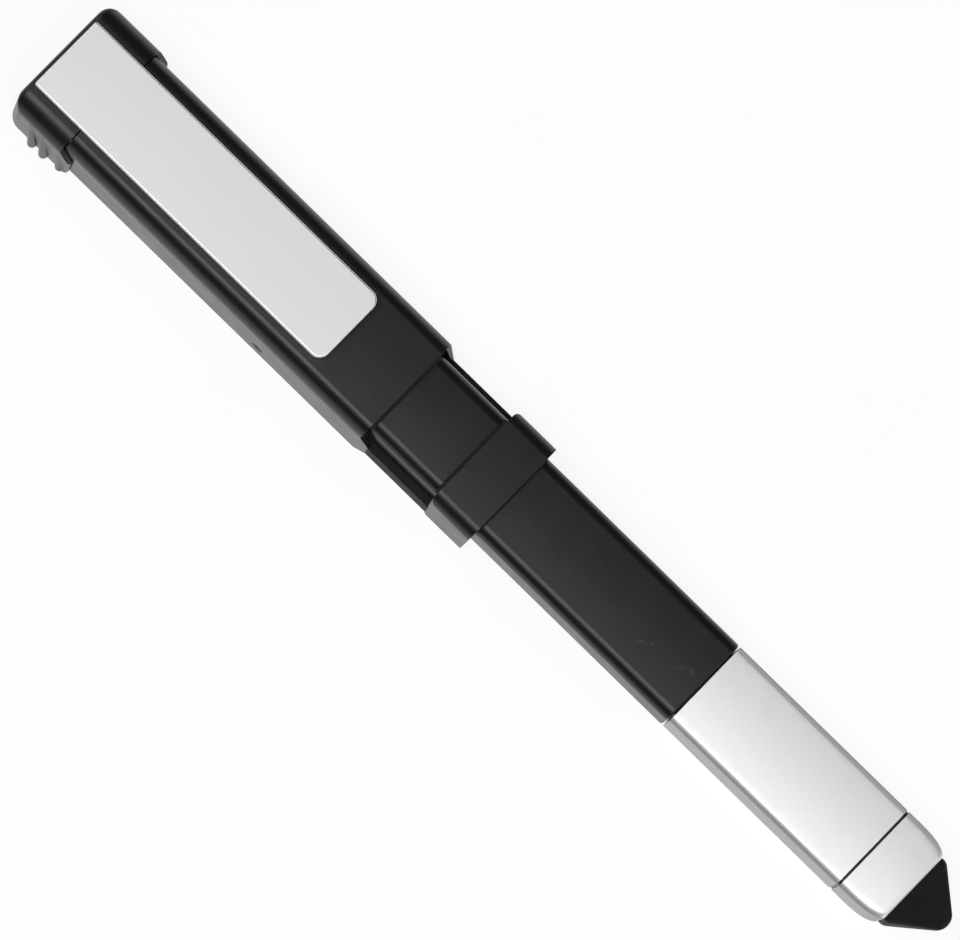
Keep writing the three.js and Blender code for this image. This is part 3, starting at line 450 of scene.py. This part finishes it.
bright_steel = finish("bright_steel", Metallic=1.0)
turned = noise(bright_steel, 3800, 2, (1, 0.06, 1))
feed(bright_steel,
     Base_Color=mottle(bright_steel, noise(bright_steel, 400, 3),
                       (0.40, 0.40, 0.41, 1), (0.53, 0.53, 0.53, 1)),
     Roughness=span(bright_steel, turned, 0.26, 0.38),
     Normal=relief(bright_steel, turned, 0.00001, 0.4))
coat(bright_steel, "tool_pin", "comb_spring", "spring_rivet_1", "spring_rivet_2",
     "clip_spring", "clip_rivet_1", "clip_rivet_2")
coat(blackened_steel, "tang_pin", "collar_pin")


# Six shims turned from brass sit on the tool pin.
# They keep the tools apart, so that one can swing out without the next.
shim_brass = finish("shim_brass", Metallic=1.0)
feed(shim_brass,
     Base_Color=mottle(shim_brass, noise(shim_brass, 900, 3), (0.42, 0.27, 0.10, 1), (0.60, 0.42, 0.17, 1)),
     Roughness=span(shim_brass, noise(shim_brass, 2200, 2), 0.25, 0.42),
     Normal=relief(shim_brass, noise(shim_brass, 5000, 2), 0.00001, 0.4))
for i in range(6):
    coat(shim_brass, f"tool_washer_{i + 1}")


# The sleeve is a moulded U-shaped cover, 0.8 mm thick, that slides over the frames from the cap's side.
# Its back is open for the tools, and two thin tongues run on beside the window.
sleeve_wall = 0.8 * mm
shell_inner = sleeve_high.y - sleeve_wall
sleeve_radius = 2.5 * mm
sleeve_edge_radius = 0.22 * mm
tongue_top = sleeve_high.z - 2.5 * mm
rail_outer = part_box("frame_left")[1].y
outer_face_y = shell_inner + 0.6 * mm
lip_radius = 1.4 * mm
lip_bite = 0.2 * mm
lip_play = 0.1 * mm
lip_set_back = 0.03 * mm
lip_cover = 0.3 * mm
pin_hole_radius = 0.85 * mm
pin_hole_half = 10 * mm
tang_pin_low, tang_pin_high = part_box("tang_pin")
pin_x = (tang_pin_low.x + tang_pin_high.x) / 2
pin_z = (tang_pin_low.z + tang_pin_high.z) / 2


def leave_out(piece, test):
    """Deletes the faces that pass the test."""
    pick(piece, "FACE", test)
    bpy.ops.mesh.delete(type="FACE")
    return close(piece)


def thicken(piece, wall):
    """Gives a shell its wall, laid inwards."""
    take(piece)
    walls = piece.modifiers.new("walls", "SOLIDIFY")
    walls.thickness, walls.offset, walls.use_even_offset = wall, -1, True
    bpy.ops.object.modifier_apply(modifier=walls.name)
    return piece


sleeve = block("sleeve_cover", sleeve_low, (sleeve_end, sleeve_high.y, sleeve_high.z))
leave_out(sleeve, lambda centre, normal: normal.z < -0.9 or abs(normal.x) > 0.9)
crown(sleeve, sleeve_high.y, sleeve_high.z, face_crown)
round_off(sleeve, sleeve_radius, 14,
          lambda a, b: along_corner(sleeve_high.y)(a, b) and a.z > sleeve_high.z - mm)
pick(sleeve, "FACE", lambda centre, normal: abs(normal.y) > 0.99)
bpy.ops.mesh.bisect(plane_co=(0, 0, tongue_top), plane_no=(0, 0, 1))
close(sleeve)
thicken(sleeve, sleeve_wall)
pick(sleeve, "FACE", lambda centre, normal: normal.x > 0.9 and centre.x > sleeve_end - slack
     and centre.z < tongue_top)
bpy.ops.mesh.extrude_region_move(TRANSFORM_OT_translate={"value": (tongue_reach, 0, 0)})
close(sleeve)
pick(sleeve, "VERT", lambda point: point.x > sleeve_end + mm and abs(point.y) > sleeve_high.y - 0.1 * mm)
bpy.ops.transform.resize(value=(1, rail_outer / sleeve_high.y, 1), center_override=(0, 0, 0))
close(sleeve)
pick(sleeve, "VERT", lambda point: point.x > sleeve_end + mm and point.z > rail_top)
bpy.ops.transform.translate(value=(0, 0, rail_top - tongue_top))
close(sleeve)
ease(sleeve, sleeve_edge_radius, 3,
     lambda a, b: max(abs(a.y), abs(b.y)) > outer_face_y or min(a.z, b.z) > tongue_top)
carve(sleeve, rod("pin_hole", (pin_x, -pin_hole_half, pin_z), (pin_x, pin_hole_half, pin_z), pin_hole_radius))
lip = block("lip", (sleeve_end - lip_length, -shell_inner - lip_bite, barrel_high.z + lip_play),
            (sleeve_end - lip_set_back, shell_inner + lip_bite, sleeve_high.z - lip_cover))
round_off(lip, lip_radius, 6, lambda a, b: along_x(a, b) and a.z > barrel_high.z + mm)
weld(sleeve, lip)
smooth(sleeve)
sleeve.data.materials.append(moulded_black("sleeve_black"))
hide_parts("sleeve")
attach(sleeve, "handle")


# The collar is a moulded ring that slides up the barrel and locks the frames and the barrel together.
# Its two corners towards the window are rounded.
collar_back_wall = 0.9 * mm
collar_radius = 2 * mm
collar_edge_radius = 0.2 * mm
collar_play = 0.1 * mm


def trim(piece, other):
    """Leaves only what lies inside another solid."""
    return combine(piece, "INTERSECT", [other])


collar = block("collar_ring", (collar_low.x - mm, collar_low.y, collar_low.z),
               (collar_high.x + mm, collar_high.y, collar_high.z))
crown(collar, collar_high.y, collar_high.z, face_crown)
round_off(collar, collar_radius, 12,
          lambda a, b: along_corner(collar_high.y)(a, b) and a.z > collar_high.z - mm)
plan = block("plan", (collar_low.x, collar_low.y, collar_low.z - mm),
             (collar_high.x, collar_high.y, collar_high.z + mm))
round_off(plan, collar_corner, 6, lambda a, b: at_x(collar_low.x)(a, b) and abs(a.z - b.z) > mm)
trim(collar, plan)
carve(collar,
      block("frame_space", (collar_low.x - mm, -shell_inner, collar_back_wall),
            (collar_high.x + mm, shell_inner, rail_top + collar_play)),
      block("barrel_space", (collar_low.x - mm, -barrel_high.y - collar_play, collar_back_wall),
            (collar_high.x + mm, barrel_high.y + collar_play, barrel_high.z + collar_play)))
ease(collar, collar_edge_radius, 3)
smooth(collar)
collar.data.materials.append(moulded_black("collar_black"))
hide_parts("collar")
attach(collar, "handle")


# The cap closes the handle's end: a thick moulded block with two ears that run back along the sleeve, and
# three grip ribs on each side. Its side walls hold the tool pin's ends, and its back is open for the tools.
# Inside, two shoulders lie over the frames, beside the comb spring.
cap_low, cap_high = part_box("cap")
cap_half = cap_high.y - 0.6 * mm
cap_face_x = sleeve_low.x - 0.16 * mm
cap_corner = 2.2 * mm
cap_radius = 2.8 * mm
cap_end_radius = 0.8 * mm
cap_edge_radius = 0.16 * mm
cap_end_wall = 1.2 * mm
cap_front_wall = 1.3 * mm
mouth_depth = 2.2 * mm
mouth_top = 8.2 * mm
shoulder_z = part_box("frame_left")[1].z + 0.15 * mm
ear_end_radius = 0.5 * mm
ear_top = cap_high.z - 2 * mm
ear_drop = 3.3 * mm
ear_overrun = 2 * mm
ear_space_half = 12 * mm
ear_space_top = 14 * mm
sleeve_play = 0.1 * mm
sleeve_space_radius = 2 * mm
spring_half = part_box("comb_spring")[1].y + 0.1 * mm
rib_radius = 0.62 * mm
rib_lean = 1.5 * mm
rib_foot = 0.9 * mm

cap = block("cap_block", (cap_low.x, -cap_half, cap_low.z), (cap_high.x, cap_half, cap_high.z))
round_off(cap, cap_corner, 10, lambda a, b: at_x(cap_low.x)(a, b) and abs(a.z - b.z) > mm)
round_off(cap, ear_end_radius, 4, lambda a, b: at_x(cap_high.x)(a, b) and abs(a.z - b.z) > mm)
mould = block("mould", (cap_low.x, -cap_half, cap_low.z - mm), (cap_high.x + mm, cap_half, cap_high.z))
round_off(mould, cap_radius, 12, lambda a, b: along_corner(cap_half)(a, b) and a.z > 0)
round_off(mould, cap_end_radius, 4, lambda a, b: at_x(cap_low.x)(a, b) and max(a.z, b.z) > cap_low.z)
trim(cap, mould)
ear_space = block("ear_space", (cap_face_x, -ear_space_half, ear_top - ear_drop),
                  (cap_high.x + ear_overrun, ear_space_half, ear_space_top))
pick(ear_space, "VERT", lambda point: point.x < cap_face_x + slack and point.z < ear_top)
bpy.ops.transform.translate(value=(0, 0, ear_drop))
close(ear_space)
pick(ear_space, "VERT", lambda point: point.x > cap_high.x + mm and point.z < ear_top)
bpy.ops.transform.translate(value=(0, 0, -ear_drop * ear_overrun / (cap_high.x - cap_face_x)))
close(ear_space)
sleeve_space = block("sleeve_space", (cap_face_x, -sleeve_high.y - sleeve_play, -mm),
                     (cap_high.x + mm, sleeve_high.y + sleeve_play, sleeve_high.z + sleeve_play))
round_off(sleeve_space, sleeve_space_radius, 8, lambda a, b: along_x(a, b) and a.z > sleeve_high.z)
carve(cap,
      block("hollow", (cap_low.x + cap_end_wall, -shell_inner, -mm),
            (cap_high.x + mm, shell_inner, shoulder_z)),
      block("spring_space", (cap_low.x + cap_end_wall, -spring_half, mm),
            (cap_high.x + mm, spring_half, cap_high.z - cap_front_wall)),
      block("mouth", (cap_low.x - mm, -shell_inner, -mm), (cap_low.x + mouth_depth, shell_inner, mouth_top)),
      ear_space, sleeve_space)
ease(cap, cap_edge_radius, 3)
for station, rib_top, proud in ((4.7, 10.3, 0.8), (6.6, 10.3, 0.8), (9.1, 8.9, 0.5)):
    for side in (1, -1):
        foot = (cap_low.x + station * mm, side * (cap_half + proud * mm - rib_radius), rib_foot)
        top = (foot[0] - rib_lean * rib_top * mm / cap_high.z, side * (cap_half - rib_radius), rib_top * mm)
        weld(cap, rod("rib", foot, top, rib_radius, 24))
smooth(cap)
cap.data.materials.append(moulded_black("cap_black"))
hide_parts("cap")
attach(cap, "handle")


# The pocket clip is a flat strip of stainless steel with a satin face, rounded at its two free corners.
# A rolled rib under its free end holds the pocket's cloth against the sleeve.
clip_low, clip_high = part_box("clip")
clip_thickness = 0.8 * mm
clip_root_x = clip_low.x + 0.12 * mm
clip_corner = 1.5 * mm
root_corner = 0.34 * mm
clip_edge_radius = 0.22 * mm
clip_rib_radius = 0.8 * mm
clip_rib_x = clip_high.x - 1.4 * mm
clip_rib_z = clip_low.z + clip_rib_radius
clip_rib_half = clip_high.y - 0.6 * mm
clip_rib_end_radius = 0.3 * mm


def grey(value):
    """A neutral colour."""
    return value, value, value, 1


clip = block("clip_strip", (clip_root_x, clip_low.y, clip_high.z - clip_thickness), clip_high)
round_off(clip, clip_corner, 12, lambda a, b: at_x(clip_high.x)(a, b) and abs(a.z - b.z) > 0.1 * mm)
round_off(clip, root_corner, 4, lambda a, b: at_x(clip_root_x)(a, b) and abs(a.z - b.z) > 0.1 * mm)
round_off(clip, clip_edge_radius, 5, lambda a, b: abs(a.z - b.z) < slack
          and (min(a.z, b.z) > clip_high.z - slack or max(a.z, b.z) < clip_high.z - clip_thickness + slack))
clip_rib = rod("clip_rib", (clip_rib_x, -clip_rib_half, clip_rib_z), (clip_rib_x, clip_rib_half, clip_rib_z),
               clip_rib_radius)
round_off(clip_rib, clip_rib_end_radius, 3, lambda a, b: abs(a.y - b.y) < slack)
weld(clip, clip_rib)
smooth(clip)
satin_steel = finish("satin_steel", Metallic=1.0)
brushing = noise(satin_steel, 3000, 2, (0.04, 1, 1))
feed(satin_steel,
     Base_Color=mottle(satin_steel, noise(satin_steel, 90, 3), grey(0.93), grey(0.94)),
     Roughness=span(satin_steel, brushing, 0.375, 0.385),
     Normal=relief(satin_steel, brushing, 0.000002, 0.15))
clip.data.materials.append(satin_steel)
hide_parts("clip")
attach(clip, "clip")


# The ballpoint refill is a drawn tube of blue ink paste, with a turned brass point pressed into its end.
# Its other end is pushed into a moulded black holder in the barrel's bore.
refill_clear = finish("refill_clear", Roughness=0.18, IOR=1.46)
feed(refill_clear,
     Base_Color=mottle(refill_clear, noise(refill_clear, 800, 2),
                       (0.10, 0.14, 0.36, 1), (0.16, 0.20, 0.44, 1)),
     Normal=relief(refill_clear, noise(refill_clear, 2600, 2, (0.1, 1, 1)), 0.00001, 0.3))
ink_blue = finish("ink_blue", Roughness=0.3)
feed(ink_blue,
     Base_Color=mottle(ink_blue, noise(ink_blue, 900, 2), (0.01, 0.015, 0.16, 1), (0.015, 0.02, 0.24, 1)))
coat(refill_clear, "refill_tube")
coat(ink_blue, "refill_ink")
coat(moulded_black("holder_black"), "refill_holder")
coat(shim_brass, "refill_point")


# The grip is a drawn rectangular tube, 1 mm thick, with a sprayed satin silver coat. Its colour carries
# painted shade: darker on the corner rounds and on the flat sides that face the pen's sides.
# It pulls off forwards, to bare the refill.
grip_radius = 0.9 * mm
grip_edge_radius = 0.14 * mm


def drawn_tube(name, low, high):
    """A rectangular shell open at both ends, arched in front and rounded along its four corners."""
    piece = block(name, low, high)
    leave_out(piece, lambda centre, normal: abs(normal.x) > 0.9)
    crown(piece, high.y, high.z, face_crown)
    return round_off(piece, grip_radius, 8, along_corner(high.y))


silver_coat = finish("silver_coat", Metallic=0.65, Specular_IOR_Level=0.5)
flake = noise(silver_coat, 16000, 2)
# Painted shade: the base colour goes dark where the normal turns towards the pen's sides. It is darkest on
# the corner rounds and a little lighter on the flat flanks, and stands in for the shade those sides get.
facing = node(silver_coat, "SeparateXYZ", {"Vector": node(silver_coat, "TexCoord", {}).outputs["Normal"]})
painted_shade_mask = node(silver_coat, "Math", {0: facing.outputs["Y"]}, operation="ABSOLUTE").outputs[0]
sprayed = mottle(silver_coat, flake, grey(0.90), grey(0.97))
painted_shade_on_rounds = mottle(silver_coat, flake, grey(0.30), grey(0.36))
painted_shade_on_flanks = mottle(silver_coat, flake, grey(0.40), grey(0.46))
coat_with_painted_shade = blend_colours(silver_coat, span(silver_coat, painted_shade_mask, 0, 1, 0.5, 0.8), sprayed, painted_shade_on_rounds)
feed(silver_coat,
     Base_Color=blend_colours(silver_coat, span(silver_coat, painted_shade_mask, 0, 1, 0.9, 1.0), coat_with_painted_shade, painted_shade_on_flanks),
     Roughness=span(silver_coat, noise(silver_coat, 1500, 3), 0.43, 0.49),
     Normal=relief(silver_coat, flake, 0.000006, 0.5))
grip = drawn_tube("grip_tube", grip_low, grip_high)
thicken(grip, grip_wall)
ease(grip, grip_edge_radius, 3)
smooth(grip)
grip.data.materials.append(silver_coat)
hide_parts("grip")
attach(grip, "grip")


# The black insert plugs the grip's front end: its flange shows as a thin line, and its spigot and nozzle
# guide the refill's point. The bush lines the nose and grips that spigot. Both are moulded.
insert_edge_radius = 0.06 * mm
insert_black = moulded_black("insert_black")
insert = ease_copy("grip_insert", "grip_insert_moulding", insert_edge_radius)
insert.data.materials.append(insert_black)
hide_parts("grip_insert")
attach(insert, "grip")
coat(insert_black, "nose_bush")


# The nose is the same silver tube, drawn in to a rounded mouth by a press.
# It pulls off the insert's spigot, to bare the ballpoint.
nose_low, nose_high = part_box("nose_shell")
nose_straight_x = nose_high.x - 4.4 * mm
nose_wall = 0.6 * mm
nose_edge_radius = 0.12 * mm
nose_half_y, nose_half_z = nose_high.y, (nose_high.z - nose_low.z) / 2
nose = drawn_tube("nose_cover", nose_low, Vector((nose_straight_x, nose_high.y, nose_high.z)))
ring_x, inset_y, inset_z = nose_straight_x, 0.0, 0.0
for back, next_y, next_z in ((3.6, 0.03, 0.0), (3.0, 0.06, 0.0), (2.5, 0.11, 0.0), (2.05, 0.17, 0.01),
                             (1.55, 0.28, 0.02), (1.1, 0.42, 0.03), (0.6, 0.64, 0.06), (0.3, 0.82, 0.12),
                             (0.1, 0.98, 0.25), (0.0, 1.1, 0.42), (0.0, 1.75, 1.2)):
    step_x = nose_high.x - back * mm
    pick(nose, "EDGE", lambda a, b: min(a.x, b.x) > ring_x - 0.001 * mm
         and all(abs(end.y) < nose_half_y - inset_y * mm + 0.02 * mm for end in (a, b)))
    bpy.ops.mesh.extrude_edges_move(TRANSFORM_OT_translate={"value": (step_x - ring_x, 0, 0)})
    bpy.ops.transform.resize(value=(1, (nose_half_y - next_y * mm) / (nose_half_y - inset_y * mm),
                                    (nose_half_z - next_z * mm) / (nose_half_z - inset_z * mm)),
                             center_override=(step_x, 0, pen_axis))
    close(nose)
    ring_x, inset_y, inset_z = step_x, next_y, next_z
thicken(nose, nose_wall)
ease(nose, nose_edge_radius, 3, lambda a, b: max(a.x, b.x) < nose_low.x + mm)
smooth(nose)
nose.data.materials.append(silver_coat)
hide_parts("nose_shell")
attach(nose, "nose")


# The stylus tip is moulded from soft black conductive rubber: a blunt pyramid with a round point.
# Its stem is held in the nose's mouth.
tip_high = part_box("stylus_tip")[1]
tip_end = tip_high.x + 0.04 * mm
stem_x = nose_high.x - 0.6 * mm
band_x = nose_high.x + 0.45 * mm
base_half_y, base_half_z = 5.18 * mm, 3.3 * mm
base_corner = 1.1 * mm
apex_radius, apex_half_z = 1.76 * mm, 1.1 * mm
apex_start, apex_stop = 0.656, 1.5
apex_steps = 8

soft_rubber = finish("soft_rubber", Metallic=0.0, Specular_IOR_Level=0.2)
feed(soft_rubber,
     Base_Color=mottle(soft_rubber, noise(soft_rubber, 500, 3),
                       (0.005, 0.005, 0.0052, 1), (0.008, 0.008, 0.0082, 1)),
     Roughness=span(soft_rubber, noise(soft_rubber, 1300, 3), 0.6, 0.7),
     Normal=relief(soft_rubber, noise(soft_rubber, 6500, 3), 0.00002, 0.6))
tip = block("stylus_cone", (stem_x, -base_half_y, pen_axis - base_half_z),
            (band_x, base_half_y, pen_axis + base_half_z))
round_off(tip, base_corner, 8, along_x)
profile = [(band_x + step * mm, base_half_y - fall * mm, base_half_z - 0.6 * fall * mm)
           for step, fall in ((0.25, 0.04), (0.5, 0.14), (0.75, 0.30))]
for i in range(apex_steps + 1):
    turn = apex_start + (apex_stop - apex_start) * i / apex_steps
    profile.append((tip_end - apex_radius * (math.sin(apex_stop) - math.sin(turn)),
                    apex_radius * math.cos(turn),
                    apex_half_z * (math.cos(turn) / math.cos(apex_start))))
ring_x, half_y, half_z = band_x, base_half_y, base_half_z
for next_x, next_y, next_z in profile:
    pick(tip, "FACE", lambda centre, normal: normal.x > 0.9 and centre.x > ring_x - slack)
    bpy.ops.mesh.extrude_region_move(TRANSFORM_OT_translate={"value": (next_x - ring_x, 0, 0)})
    bpy.ops.transform.resize(value=(1, next_y / half_y, next_z / half_z),
                             center_override=(next_x, 0, pen_axis))
    close(tip)
    ring_x, half_y, half_z = next_x, next_y, next_z
smooth(tip)
tip.data.materials.append(soft_rubber)
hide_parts("stylus_tip")
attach(tip, "nose")


# The table: a pale sheet lit from below, as on a light table. The pen on it is lit by two soft panels
# off its ends and a third high over its right side.
bpy.ops.object.select_all(action="DESELECT")
bpy.ops.mesh.primitive_plane_add(size=6, location=(0, 0, -0.02 * mm))
table = bpy.context.object
table.name = "table"
paper = finish("paper", Roughness=0.9, Specular_IOR_Level=0.1, Emission_Color=grey(1), Emission_Strength=0.88)
feed(paper, Base_Color=mottle(paper, noise(paper, 40, 2), grey(0.14), grey(0.15)))
table.data.materials.append(paper)

room = bpy.data.worlds.new("room")
room.use_nodes = True
room.node_tree.nodes["Background"].inputs["Color"].default_value = grey(1)
room.node_tree.nodes["Background"].inputs["Strength"].default_value = 0.07
bpy.context.scene.world = room


def panel(name, place, size, power):
    """A soft rectangular lamp that faces the pen's middle."""
    light = bpy.data.lights.new(name, "AREA")
    light.shape, light.size, light.size_y, light.energy = "RECTANGLE", size[0], size[1], power
    lamp = bpy.data.objects.new(name, light)
    lamp.location = place
    lamp.rotation_mode = "QUATERNION"
    lamp.rotation_quaternion = (Vector((0, 0, 0)) - Vector(place)).to_track_quat("-Z", "Y")
    bpy.context.scene.collection.objects.link(lamp)


panel("cap_panel", (-0.95, 0, 0.75), (0.9, 0.6), 2.5)
panel("tip_panel", (0.95, 0, 0.75), (0.9, 0.6), 2.5)
panel("high_panel", (0, -0.42, 1.65), (1.6, 0.62), 15.1)


# The camera looks down on the pen, tilted 8 degrees to its right side, and turned so that the pen lies
# at 44.3 degrees across the picture with the cap at the top left.
tilt = math.radians(8)
roll = math.radians(44.3)
aim_station = 71.2 * mm
seen_width = 115.9 * mm
aim = Vector((cap_low.x + aim_station, 0, pen_axis))
towards = Vector((0, -math.sin(tilt), math.cos(tilt)))
level_up = Vector((0, math.cos(tilt), math.sin(tilt)))
right = Vector((1, 0, 0)) * math.cos(roll) + level_up * math.sin(roll)
up = level_up * math.cos(roll) - Vector((1, 0, 0)) * math.sin(roll)
lens = bpy.data.cameras.new("camera")
lens.lens, lens.sensor_width = 400, 36
lens.clip_start, lens.clip_end = 0.01, 10
camera = bpy.data.objects.new("camera", lens)
place = aim + towards * (seen_width * lens.lens / lens.sensor_width)
camera.matrix_world = Matrix((
    (right.x, up.x, towards.x, place.x),
    (right.y, up.y, towards.y, place.y),
    (right.z, up.z, towards.z, place.z),
    (0, 0, 0, 1)))
bpy.context.scene.collection.objects.link(camera)
bpy.context.scene.camera = camera
bpy.context.scene.view_settings.view_transform = "Standard"
